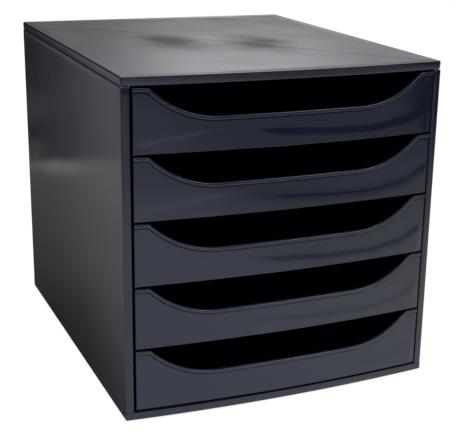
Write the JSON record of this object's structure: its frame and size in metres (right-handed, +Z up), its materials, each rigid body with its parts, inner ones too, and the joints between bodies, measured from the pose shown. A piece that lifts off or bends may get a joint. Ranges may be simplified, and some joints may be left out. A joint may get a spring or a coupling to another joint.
{
  "type": "letter tray stack with drawers",
  "caption": "Desktop letter tray stack: a closed plastic casing with a bowed front and pull-out trays that have wide curved finger openings.",
  "frame": {"origin": "on the table, under the middle of the casing's width and depth", "axes": "+X is the viewer's right when facing the drawers, -Y is the front that the drawers slide out of, +Z is up"},
  "size_m": [0.284, 0.348, 0.2887],
  "materials": {
    "casing_plastic": "satin moulded polystyrene, anthracite",
    "drawer_plastic": "glossy moulded polystyrene, anthracite with a blue cast",
    "foot_rubber": "matt black rubber"
  },
  "bodies": {
    "casing": {"top_panel": "casing_plastic", "base_panel": "casing_plastic", "left_side_panel": "casing_plastic", "right_side_panel": "casing_plastic", "back_panel": "casing_plastic", "foot_front_left": "foot_rubber", "foot_front_right": "foot_rubber", "foot_rear_left": "foot_rubber", "foot_rear_right": "foot_rubber", "left_runner_1": "casing_plastic", "left_runner_2": "casing_plastic", "left_runner_3": "casing_plastic", "left_runner_4": "casing_plastic", "left_runner_5": "casing_plastic", "right_runner_1": "casing_plastic", "right_runner_2": "casing_plastic", "right_runner_3": "casing_plastic", "right_runner_4": "casing_plastic", "right_runner_5": "casing_plastic"},
    "drawer_1": {"drawer_1": "drawer_plastic"},
    "drawer_2": {"drawer_2": "drawer_plastic"},
    "drawer_3": {"drawer_3": "drawer_plastic"},
    "drawer_4": {"drawer_4": "drawer_plastic"},
    "drawer_5": {"drawer_5": "drawer_plastic"}
  },
  "joints": [
    {"name": "drawer_1_slide", "type": "slide", "parent": "casing", "child": "drawer_1", "axis": [0, -1, 0], "range_m": [0, 0.27]},
    {"name": "drawer_2_slide", "type": "slide", "parent": "casing", "child": "drawer_2", "axis": [0, -1, 0], "range_m": [0, 0.27]},
    {"name": "drawer_3_slide", "type": "slide", "parent": "casing", "child": "drawer_3", "axis": [0, -1, 0], "range_m": [0, 0.27]},
    {"name": "drawer_4_slide", "type": "slide", "parent": "casing", "child": "drawer_4", "axis": [0, -1, 0], "range_m": [0, 0.27]},
    {"name": "drawer_5_slide", "type": "slide", "parent": "casing", "child": "drawer_5", "axis": [0, -1, 0], "range_m": [0, 0.27]}
  ]
}
